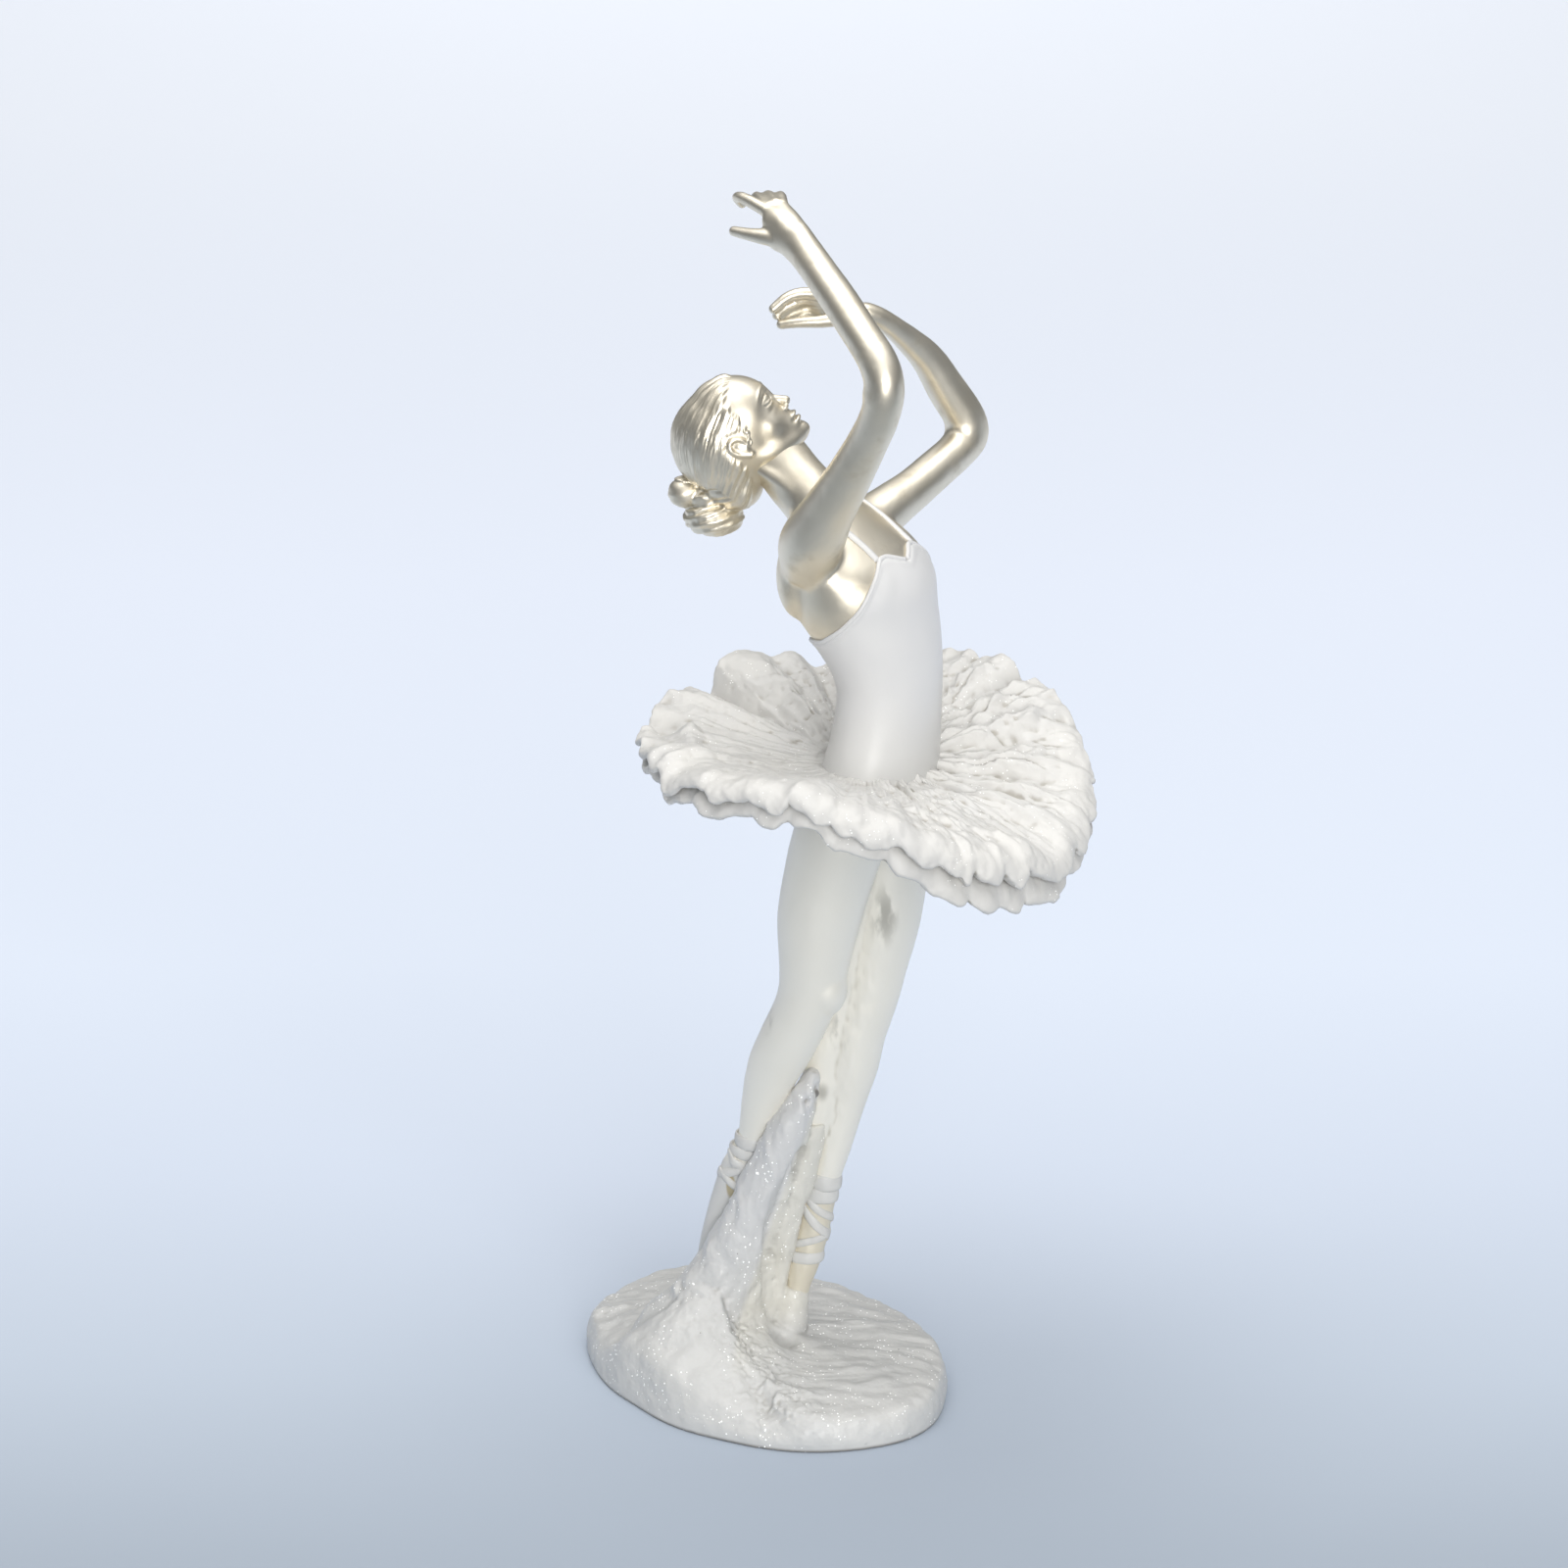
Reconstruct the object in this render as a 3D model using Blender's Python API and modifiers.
"""Ballerina figurine, one piece of cast resin, in metres with +Z up.

The dancer faces -Y, her left hand is on +X, and the origin is the middle
of the flat underside of the base. Tables are in millimetres.
"""
from math import atan2, cos, degrees, hypot, radians, sin

import bmesh
import bpy
from mathutils import Matrix, Vector

MM = 0.001
HEIGHT = 240.0
DRAWN_HEIGHT = 239.7
BASE_LENGTH = 85.0
BASE_WIDTH = 62.0
BASE_TURN = radians(-116.3)
BASE_RIM = 6.4
BASE_RISE = 2.6
BASE_EDGE_ROUND = 1.6
BASE_LIFT = 2.0
LIFT_HEADING = radians(156.0)
MOUND_HEIGHT = 7.0
MOUND_REACH = 26.0
MOUND_CENTRE = (-9.5, 7.0)
TUTU_RADIUS = 43.0
TUTU_CENTRE = (-1.6, -22.0)
TUTU_HEIGHT = 130.0
TUTU_INNER = 9.0
TUTU_LAYER = 2.2
TUTU_LAYER_GAP = 2.9
TUTU_FRONT_GAP = 3.4
UNDER_LAYER_SHORT = 0.8
FILLING_SHORT = 1.8
FLUTES = 30
FLUTE_DEPTH = 1.45
RING_SIDES = 28
VOXEL = 0.55
SMOOTHING_PASSES = 3
TRIANGLES = 9700
HEAD_CENTRE = (-2.0, 5.0, 192.0)
HEAD_HEADING = radians(-62.0)
HEAD_TILT = radians(55.0)

# The figure's tables are drawn at one size and grow with its height.
GROW = HEIGHT / DRAWN_HEIGHT

# Rows are x, y, z, half width across, half depth front to back.
TORSO = [
    (0.0, -22.3, 116.0, 14.5, 9.0),
    (0.0, -23.8, 124.0, 15.3, 10.0),
    (0.0, -24.8, 131.0, 13.8, 9.7),
    (0.0, -25.9, 138.0, 12.0, 9.3),
    (0.0, -26.5, 145.5, 11.3, 9.1),
    (0.0, -25.6, 150.5, 12.1, 9.9),
    (0.0, -23.4, 156.0, 13.8, 11.5),
    (0.0, -21.2, 161.0, 15.3, 12.8),
    (0.0, -20.2, 166.0, 16.2, 12.9),
    (0.0, -18.6, 171.0, 16.3, 11.2),
    (0.0, -15.8, 176.0, 12.5, 8.0),
    (0.0, -12.6, 180.0, 7.2, 5.8),
]
NECK = [
    (0.0, -14.0, 176.5, 6.6, 6.2),
    (0.0, -9.9, 180.4, 5.7, 5.6),
    (0.2, -6.6, 183.2, 5.3, 5.3),
    (0.8, -2.8, 186.6, 5.2, 5.3),
    (0.6, 0.6, 189.6, 5.4, 5.6),
]
RIGHT_LEG = [
    (-7.2, -22.6, 125.0, 8.4, 9.2),
    (-7.9, -20.4, 118.0, 8.7, 9.0),
    (-8.0, -18.0, 110.0, 8.4, 8.6),
    (-8.0, -15.7, 99.6, 7.8, 8.0),
    (-8.0, -14.3, 88.0, 6.1, 6.4),
    (-8.0, -12.5, 81.5, 5.5, 5.8),
    (-7.3, -8.5, 73.5, 5.5, 5.7),
    (-6.3, -4.9, 66.8, 5.0, 5.2),
    (-5.0, -1.7, 57.9, 3.9, 4.1),
    (-4.2, 0.3, 51.5, 3.0, 3.3),
    (-4.0, 1.8, 47.5, 2.9, 3.5),
    (-4.0, 3.6, 43.2, 2.9, 4.2),
    (-3.6, 6.0, 37.3, 3.1, 3.8),
    (-3.1, 8.2, 31.5, 3.3, 3.4),
    (-2.6, 10.4, 25.6, 3.1, 2.8),
    (-2.1, 12.4, 20.0, 2.3, 2.1),
]
LEFT_LEG = [
    (7.2, -23.0, 125.0, 8.4, 9.2),
    (7.6, -22.5, 116.0, 8.6, 8.8),
    (7.5, -21.9, 104.0, 7.9, 8.1),
    (7.0, -21.2, 95.8, 7.4, 7.6),
    (6.4, -19.9, 87.7, 6.5, 6.9),
    (6.0, -18.9, 81.0, 5.9, 6.3),
    (5.5, -16.7, 73.3, 5.8, 6.1),
    (5.1, -15.7, 66.0, 5.2, 5.6),
    (4.8, -14.3, 58.5, 4.3, 4.6),
    (4.3, -12.9, 50.0, 3.4, 3.6),
    (4.0, -11.2, 43.0, 2.8, 3.1),
    (4.0, -9.2, 36.5, 2.8, 3.6),
    (3.7, -7.8, 30.0, 2.9, 3.7),
    (3.1, -6.7, 24.0, 3.0, 3.3),
    (2.5, -5.9, 19.5, 2.5, 2.6),
    (2.1, -5.7, 16.0, 1.9, 2.0),
]
# Resin left standing between her legs and behind the wave.
WEB = [
    (-2.5, 4.0, 4.0, 7.0, 5.0),
    (-1.5, 1.0, 12.0, 4.6, 3.4),
    (-1.5, -1.5, 22.0, 4.0, 3.0),
    (-1.5, -4.6, 34.0, 3.8, 2.8),
    (-1.0, -7.4, 44.0, 3.8, 2.6),
    (-0.8, -10.0, 55.0, 3.6, 2.4),
    (-0.6, -12.6, 66.0, 3.2, 2.2),
    (-0.4, -15.0, 78.0, 2.8, 2.2),
    (-0.4, -17.6, 92.0, 3.2, 2.6),
    (-0.2, -20.0, 108.0, 3.4, 3.4),
    (0.0, -21.6, 122.0, 4.0, 4.0),
]
POST = [
    (2.2, -5.2, 18.5, 2.6, 2.6),
    (1.6, -4.6, 14.0, 3.6, 3.6),
    (0.8, -3.8, 9.0, 4.2, 4.2),
    (0.0, -3.0, 4.0, 6.0, 6.0),
]
# The rising wave that carries the dancer, with half length and thickness.
WAVE = [
    (-9.4, 7.4, 4.0, 16.0, 13.0),
    (-9.4, 8.4, 9.0, 15.0, 11.5),
    (-9.0, 9.0, 12.0, 13.4, 9.6),
    (-8.6, 8.6, 15.5, 11.4, 7.9),
    (-8.1, 6.1, 20.0, 9.4, 6.6),
    (-7.6, 3.0, 27.0, 7.4, 5.8),
    (-7.2, 0.0, 34.0, 6.2, 5.2),
    (-6.6, -3.6, 43.0, 5.4, 4.8),
    (-5.8, -6.7, 52.0, 4.8, 4.4),
    (-4.8, -9.3, 59.0, 3.7, 3.8),
    (-3.6, -11.1, 64.0, 2.3, 2.8),
    (-3.0, -12.0, 67.2, 0.8, 1.2),
]
RIGHT_ARM = [
    (-12.5, -16.5, 171.5, 5.4, 5.4),
    (-15.5, -17.5, 175.6, 5.9, 5.9),
    (-17.0, -19.6, 179.1, 5.9, 5.9),
    (-18.5, -23.2, 184.7, 5.0, 5.0),
    (-20.0, -27.6, 191.2, 4.4, 4.4),
    (-21.5, -32.2, 198.6, 3.9, 3.9),
    (-23.0, -35.8, 205.0, 3.7, 3.7),
    (-24.0, -37.4, 210.7, 3.7, 3.7),
    (-23.0, -35.6, 215.0, 3.7, 3.7),
    (-21.0, -31.4, 218.8, 3.5, 3.5),
    (-18.0, -25.6, 223.5, 3.1, 3.1),
    (-15.0, -19.6, 228.0, 2.6, 2.6),
    (-12.5, -14.7, 231.6, 2.2, 2.2),
    (-11.5, -11.7, 233.7, 2.2, 2.2),
]
LEFT_ARM = [
    (12.5, -14.8, 171.0, 5.2, 5.2),
    (16.0, -14.6, 172.6, 5.0, 5.0),
    (19.5, -15.8, 174.2, 4.6, 4.6),
    (26.0, -17.8, 176.6, 4.1, 4.1),
    (32.5, -19.7, 179.4, 3.9, 3.9),
    (38.0, -21.0, 181.6, 3.9, 3.9),
    (42.0, -21.7, 184.1, 4.0, 4.0),
    (41.5, -21.1, 187.8, 4.0, 4.0),
    (38.8, -18.6, 193.6, 3.8, 3.8),
    (35.6, -16.3, 199.8, 3.3, 3.3),
    (32.2, -14.5, 203.6, 2.8, 2.8),
    (28.0, -12.5, 207.5, 2.3, 2.3),
    (24.5, -10.5, 210.3, 2.1, 2.1),
    (22.5, -8.4, 211.4, 2.1, 2.1),
]
# Each finger is a row of joints, x, y, z and radius, knuckle to tip.
FINGERS = {
    "right index": [(-10.0, -5.6, 237.3, 1.35), (-9.0, -2.2, 238.2, 1.2),
                    (-8.0, 0.8, 238.7, 1.05), (-6.5, 2.4, 238.1, 0.95),
                    (-5.0, 2.2, 236.7, 0.9)],
    "right middle": [(-9.0, -5.9, 237.8, 1.35), (-6.0, -2.2, 238.1, 1.2),
                     (-3.0, 0.2, 237.8, 1.05), (-0.5, 0.7, 236.6, 0.9)],
    "right ring": [(-8.5, -6.8, 238.3, 1.3), (-5.0, -3.7, 238.6, 1.15),
                   (-1.5, -1.2, 237.8, 1.0), (1.0, -0.9, 236.2, 0.9)],
    "right little": [(-8.0, -7.8, 238.1, 1.25), (-5.0, -6.0, 238.8, 1.1),
                     (-2.5, -4.3, 238.2, 0.95), (-0.5, -3.6, 236.8, 0.85)],
    "right thumb": [(-11.8, -9.9, 232.9, 1.8), (-12.4, -6.9, 233.0, 1.6),
                    (-12.5, -3.4, 233.1, 1.25), (-12.0, 0.1, 233.2, 1.0)],
    "left index": [(19.5, -3.7, 214.0, 1.35), (18.0, 0.4, 214.8, 1.2),
                   (16.0, 3.5, 214.2, 1.1), (14.0, 5.8, 212.0, 0.95)],
    "left middle": [(20.5, -2.7, 212.8, 1.35), (19.5, 1.4, 213.1, 1.2),
                    (17.5, 4.3, 212.0, 1.1), (15.5, 5.8, 210.4, 0.95)],
    "left ring": [(21.0, -2.5, 211.3, 1.3), (20.5, 1.5, 211.1, 1.15),
                  (18.5, 3.8, 210.3, 1.05), (17.0, 5.1, 209.2, 0.9)],
    "left little": [(21.0, -2.9, 210.2, 1.2), (20.5, 0.2, 209.7, 1.05),
                    (19.0, 2.4, 209.0, 0.95), (18.0, 3.7, 208.3, 0.85)],
    "left thumb": [(19.5, -6.0, 210.4, 1.6), (17.5, -2.9, 209.9, 1.35),
                   (15.5, 1.1, 209.6, 1.1), (14.5, 4.4, 209.0, 0.95)],
}
# Palms and other soft masses, as centre and three radii.
RIGHT_PALM = ((-10.6, -8.4, 235.4), (1.9, 3.9, 4.4))
LEFT_PALM = ((20.8, -5.2, 212.0), (3.0, 3.4, 2.6))
BREASTS = ((6.3, -26.6, 164.0), (6.4, 5.2, 7.4))
BUTTOCKS = ((6.6, -19.6, 122.5), (7.4, 6.2, 8.6))
SHOULDER_BLADES = ((10.6, -13.2, 169.0), (5.6, 4.4, 9.0))
# Masses of the head, in its own axes, left, back and up.
HEAD_MASSES = [
    ((0.0, 2.2, 0.2), (9.9, 10.9, 10.9)),
    ((0.0, -1.2, 1.3), (9.0, 9.3, 9.3)),
    ((0.0, -3.2, -4.2), (7.2, 6.6, 8.4)),
    ((0.0, -7.2, -10.2), (2.8, 2.4, 2.2)),
    ((0.0, -10.6, -3.4), (1.3, 1.7, 2.5)),
    ((0.0, -9.0, -7.2), (2.6, 1.2, 1.3)),
    ((9.2, 0.6, -2.0), (1.2, 1.9, 2.9)),
    ((-9.2, 0.6, -2.0), (1.2, 1.9, 2.9)),
    ((0.0, 8.3, -4.4), (7.2, 5.6, 6.8)),
]
# Her bun and the knot over it, in upright axes turned to the head's heading.
BUN_MASSES = [
    ((0.0, 4.4, -16.6), (4.8, 5.8, 3.7)),
    ((0.0, 9.6, -12.2), (2.8, 2.9, 2.7)),
    ((0.0, 5.4, -12.6), (3.6, 4.6, 2.6)),
]
# The skirt's edge as angle in degrees and height over its waist line.
EDGE = [
    (0.0, 11.0), (8.0, 9.8), (18.0, 6.5), (28.0, 9.6), (39.0, 6.4), (46.0, 9.4),
    (51.0, 8.0), (58.0, 11.0), (66.0, 8.4), (71.5, 3.4), (79.0, 5.4), (88.0, 7.0),
    (96.0, 6.4), (104.0, 3.6), (119.0, 5.6), (134.0, 6.2), (145.0, 3.6), (160.0, 4.8),
    (174.0, 4.8), (192.0, 5.2), (202.0, 1.4), (216.0, -2.0), (225.0, -6.4),
    (237.0, -9.4), (250.0, -11.2), (264.0, -12.8), (276.0, -11.8), (286.0, -8.2),
    (295.0, -6.4), (304.0, -3.8), (309.0, -0.4), (317.0, 0.8), (321.0, 2.4),
    (324.0, 5.6), (331.0, 7.4), (338.0, 7.4), (342.5, 6.3), (346.0, 10.2),
    (351.0, 11.4), (356.5, 8.9), (360.0, 11.0),
]


def remove_startup_objects():
    """Empty the scene, object by object."""
    for obj in list(bpy.data.objects):
        bpy.data.objects.remove(obj, do_unlink=True)


def loft(bm, rows, sides=RING_SIDES, across=Vector((1.0, 0.0, 0.0)), level=False):
    """Skin a closed limb over oval rings set square to its own run."""
    places = [Vector(row[:3]) for row in rows]
    previous = None
    made = []
    for number, row in enumerate(rows):
        before = places[max(number - 1, 0)]
        after = places[min(number + 1, len(rows) - 1)]
        run = Vector((0.0, 0.0, 1.0)) if level else (after - before).normalized()
        side = (across - run * across.dot(run)).normalized()
        depth = run.cross(side)
        turn = Matrix((side, depth, run)).transposed().to_4x4()
        oval = Matrix.Diagonal((row[3], row[4], 1.0, 1.0))
        last = number in (0, len(rows) - 1)
        ring = bmesh.ops.create_circle(
            bm, cap_ends=last, segments=sides, radius=1.0,
            matrix=Matrix.Translation(places[number]) @ turn @ oval)
        made.extend(ring["verts"])
        edges = list({e for v in ring["verts"] for e in v.link_edges})
        if previous:
            bmesh.ops.bridge_loops(bm, edges=previous + edges)
        previous = edges
    return made


def blob(bm, centre, radii, frame=Matrix.Identity(4)):
    """Add an egg-shaped mass, by its centre and radii, in a frame."""
    place = Matrix.Translation(Vector(centre)) @ Matrix.Diagonal((*radii, 1.0))
    bmesh.ops.create_icosphere(bm, subdivisions=3, radius=1.0, matrix=frame @ place)


def mirrored(bm, centre, radii):
    """Add the same mass on her left and on her right."""
    blob(bm, centre, radii)
    blob(bm, (-centre[0], centre[1], centre[2]), radii)


def chain(bm, joints):
    """Add a finger as a row of short tapering tubes with round joints."""
    rows = [(x, y, z, r, r) for x, y, z, r in joints]
    loft(bm, rows, sides=12, across=Vector((0.3, 0.2, 0.93)))
    for x, y, z, r in (joints[0], joints[-1]):
        blob(bm, (x, y, z), (r, r, r))


def edge_height(angle):
    """Height of the skirt's edge at an angle, eased between the table's rows."""
    turn = degrees(angle) % 360.0
    for (start, low), (end, high) in zip(EDGE, EDGE[1:]):
        if turn <= end:
            share = (turn - start) / (end - start)
            return low + (high - low) * share * share * (3.0 - 2.0 * share)
    return EDGE[0][1]


def flutes(angle, phase):
    """Round frills with sharp creases between them, deepest at her front right."""
    wander = 1.1 * sin(3.0 * angle + 0.7) + 0.6 * sin(5.0 * angle + 2.0)
    frill = 1.0 - 2.0 * abs(sin(0.5 * (FLUTES * angle + wander + phase))) ** 1.2
    front = (0.5 + 0.5 * cos(angle - radians(215.0))) ** 1.5
    return FLUTE_DEPTH * frill * (0.3 + 0.7 * front)


def layer_gap(angle):
    """Height between the skirt's two layers at the edge, deeper at her front right."""
    return TUTU_LAYER_GAP + TUTU_FRONT_GAP * max(cos(angle - radians(244.0)), 0.0) ** 12


def dish(bm, radius, sides, rise):
    """A closed round dish whose surface heights come from the function rise."""
    steps = 9
    radii = [(TUTU_INNER + (radius - TUTU_INNER) * k / steps) for k in range(steps + 1)]
    top = [(0.0, 0.0, 1.0, r, r) for r in radii]
    under = [(0.0, 0.0, -1.0, r, r) for r in reversed(radii)]
    for vert in loft(bm, top + under, sides=sides, level=True):
        angle = atan2(vert.co.y, vert.co.x)
        share = (hypot(vert.co.x, vert.co.y) - TUTU_INNER) / (TUTU_RADIUS - TUTU_INNER)
        share = max(share, 0.0)
        height, stretch = rise(angle, share, vert.co.z > 0.0)
        stretch -= 0.02 * max(cos(angle - radians(125.0)), 0.0) ** 6
        vert.co.x = vert.co.x * stretch + TUTU_CENTRE[0] * GROW
        vert.co.y = vert.co.y * stretch + TUTU_CENTRE[1] * GROW
        vert.co.z = TUTU_HEIGHT * GROW + height


def upper_layer(angle, share, upper):
    """The skirt's top layer, thin at its fluted edge."""
    lift = edge_height(angle) * share ** 1.2 + flutes(angle, 0.0) * share ** 1.8
    half = 0.5 * TUTU_LAYER * (1.0 - 0.35 * share)
    stretch = 1.0 + 0.012 * share ** 3 * flutes(angle, 1.4)
    return lift + (half if upper else -half), stretch


def lower_layer(angle, share, upper):
    """The skirt's under layer, its folds out of step with the top one's."""
    lift = edge_height(angle) * share ** 1.2 + flutes(angle, 2.0) * share ** 1.8
    half = 0.5 * TUTU_LAYER * (1.0 - 0.35 * share)
    stretch = 1.0 + 0.012 * share ** 3 * flutes(angle, 3.2)
    return lift - layer_gap(angle) * share ** 0.8 + (half if upper else -half), stretch


def filling(angle, share, upper):
    """The solid resin between the layers, short of their edges."""
    phase = 0.0 if upper else 2.0
    lift = edge_height(angle) * share ** 1.2 + flutes(angle, phase) * share ** 1.8
    drop = layer_gap(angle) * share ** 0.8 + FILLING_SHORT * max(1.0 - share, 0.0) ** 2
    return lift - (0.0 if upper else drop), 1.0


def mound(x, y):
    """Height that the resin gains towards the foot of the wave."""
    away = hypot(x - MOUND_CENTRE[0], y - MOUND_CENTRE[1]) / MOUND_REACH
    return MOUND_HEIGHT * max(1.0 - away, 0.0) ** 2


def base(bm):
    """The oval base, a low mound that leans in on the wave's side."""
    turn = Matrix.Rotation(BASE_TURN, 4, "Z")
    shape = [(-2.0, 1.0), (0.0, 1.0), (0.4 * BASE_RIM, 1.008),
             (BASE_RIM - BASE_EDGE_ROUND, 0.985), (BASE_RIM, 0.935),
             (BASE_RIM + 0.45 * BASE_RISE, 0.80), (BASE_RIM + 0.7 * BASE_RISE, 0.60),
             (BASE_RIM + 0.9 * BASE_RISE, 0.38), (BASE_RIM + BASE_RISE, 0.18)]
    rows = [(0.0, 0.0, z, BASE_LENGTH / 2.0 * s, BASE_WIDTH / 2.0 * s) for z, s in shape]
    for vert in loft(bm, rows, sides=72, level=True):
        angle = atan2(vert.co.y, vert.co.x)
        grow = 1.0 + 0.006 * sin(5.0 * angle + 1.0) + 0.006 * sin(9.0 * angle)
        vert.co = turn @ Vector((vert.co.x * grow, vert.co.y * grow, vert.co.z))
        level = max(vert.co.z, 0.0) / BASE_RIM
        angle = atan2(vert.co.y, vert.co.x)
        side = max(cos(angle - LIFT_HEADING), 0.0)
        lean = 1.0 - 0.05 * side * level * level
        vert.co.x *= lean
        vert.co.y *= lean
        if level > 0.5:
            ripple = 0.3 * sin(7.0 * (angle - BASE_TURN))
            vert.co.z += BASE_LIFT * side ** 1.5 + ripple + mound(vert.co.x, vert.co.y)


def head_frame(tilt):
    """Her head's own axes, left, back and up, turned and thrown back by a tilt."""
    heading = Vector((cos(HEAD_HEADING), sin(HEAD_HEADING), 0.0))
    left = Vector((-sin(HEAD_HEADING), cos(HEAD_HEADING), 0.0))
    up = Vector((0.0, 0.0, cos(tilt))) - heading * sin(tilt)
    back = up.cross(left)
    turn = Matrix((left, back, up)).transposed().to_4x4()
    return Matrix.Translation(Vector(HEAD_CENTRE)) @ turn


def body(bm):
    """Torso, neck, head, limbs, hands and wave, drawn at the tables' own size."""
    along_view = Vector((0.47, -0.88, 0.0))
    loft(bm, TORSO, level=True)
    loft(bm, NECK)
    loft(bm, RIGHT_LEG)
    loft(bm, LEFT_LEG)
    loft(bm, RIGHT_ARM)
    loft(bm, LEFT_ARM, across=Vector((0.0, 1.0, 0.0)))
    loft(bm, POST, level=True)
    loft(bm, WAVE, across=along_view, level=True)
    loft(bm, WEB, across=along_view, level=True)
    mirrored(bm, *BREASTS)
    mirrored(bm, *BUTTOCKS)
    mirrored(bm, *SHOULDER_BLADES)
    blob(bm, *RIGHT_PALM)
    blob(bm, *LEFT_PALM)
    for joints in FINGERS.values():
        chain(bm, joints)
    frame = head_frame(HEAD_TILT)
    for centre, radii in HEAD_MASSES:
        blob(bm, centre, radii, frame)
    frame = head_frame(0.0)
    for centre, radii in BUN_MASSES:
        blob(bm, centre, radii, frame)
    bmesh.ops.scale(bm, vec=(GROW, GROW, GROW), verts=bm.verts)


def evaluated(obj):
    """Apply an object's modifiers and hand back the new mesh."""
    graph = bpy.context.evaluated_depsgraph_get()
    mesh = bpy.data.meshes.new_from_object(obj.evaluated_get(graph))
    obj.modifiers.clear()
    obj.data = mesh
    return mesh


def one_skin(obj):
    """Merge the overlapping masses into one closed, softened skin."""
    remesh = obj.modifiers.new("one skin", "REMESH")
    remesh.mode = "VOXEL"
    remesh.voxel_size = VOXEL * MM
    remesh.adaptivity = 0.0
    evaluated(obj)
    bm = bmesh.new()
    bm.from_mesh(obj.data)
    for _ in range(SMOOTHING_PASSES):
        bmesh.ops.smooth_vert(bm, verts=bm.verts, factor=0.5,
                              use_axis_x=True, use_axis_y=True, use_axis_z=True)
    faces = len(bm.faces) * 2
    bm.to_mesh(obj.data)
    bm.free()
    thin = obj.modifiers.new("fewer faces", "DECIMATE")
    thin.decimate_type = "COLLAPSE"
    thin.ratio = TRIANGLES / faces
    thin.use_collapse_triangulate = True
    evaluated(obj)


def flat_underside(obj):
    """Cut the base level with the ground."""
    bm = bmesh.new()
    bm.from_mesh(obj.data)
    everything = bm.verts[:] + bm.edges[:] + bm.faces[:]
    bmesh.ops.bisect_plane(bm, geom=everything, plane_co=(0.0, 0.0, 0.0),
                           plane_no=(0.0, 0.0, 1.0), clear_inner=True)
    rim = [e for e in bm.edges if e.is_boundary]
    bmesh.ops.holes_fill(bm, edges=rim, sides=0)
    bmesh.ops.triangulate(bm, faces=[f for f in bm.faces if len(f.verts) > 3])
    bmesh.ops.recalc_face_normals(bm, faces=bm.faces)
    bm.to_mesh(obj.data)
    bm.free()


def resin():
    """Off-white pearl resin, with the skin's pale metal paint left to the looks."""
    material = bpy.data.materials.new("pearl_resin")
    material.use_nodes = True
    shader = material.node_tree.nodes["Principled BSDF"]
    shader.inputs["Base Color"].default_value = (0.80, 0.78, 0.73, 1.0)
    shader.inputs["Roughness"].default_value = 0.45
    return material


def build():
    """Make the figurine as one named solid in its own collection."""
    remove_startup_objects()
    bm = bmesh.new()
    body(bm)
    base(bm)
    dish(bm, TUTU_RADIUS, 240, upper_layer)
    dish(bm, TUTU_RADIUS - UNDER_LAYER_SHORT, 240, lower_layer)
    dish(bm, TUTU_RADIUS - FILLING_SHORT, 120, filling)
    bmesh.ops.scale(bm, vec=(MM, MM, MM), verts=bm.verts)
    bmesh.ops.recalc_face_normals(bm, faces=bm.faces)
    mesh = bpy.data.meshes.new("ballerina_figurine")
    bm.to_mesh(mesh)
    bm.free()
    figure = bpy.data.objects.new("ballerina_figurine", mesh)
    group = bpy.data.collections.new("ballerina figurine")
    bpy.context.scene.collection.children.link(group)
    group.objects.link(figure)
    one_skin(figure)
    flat_underside(figure)
    figure.data.materials.clear()
    figure.data.materials.append(resin())


build()
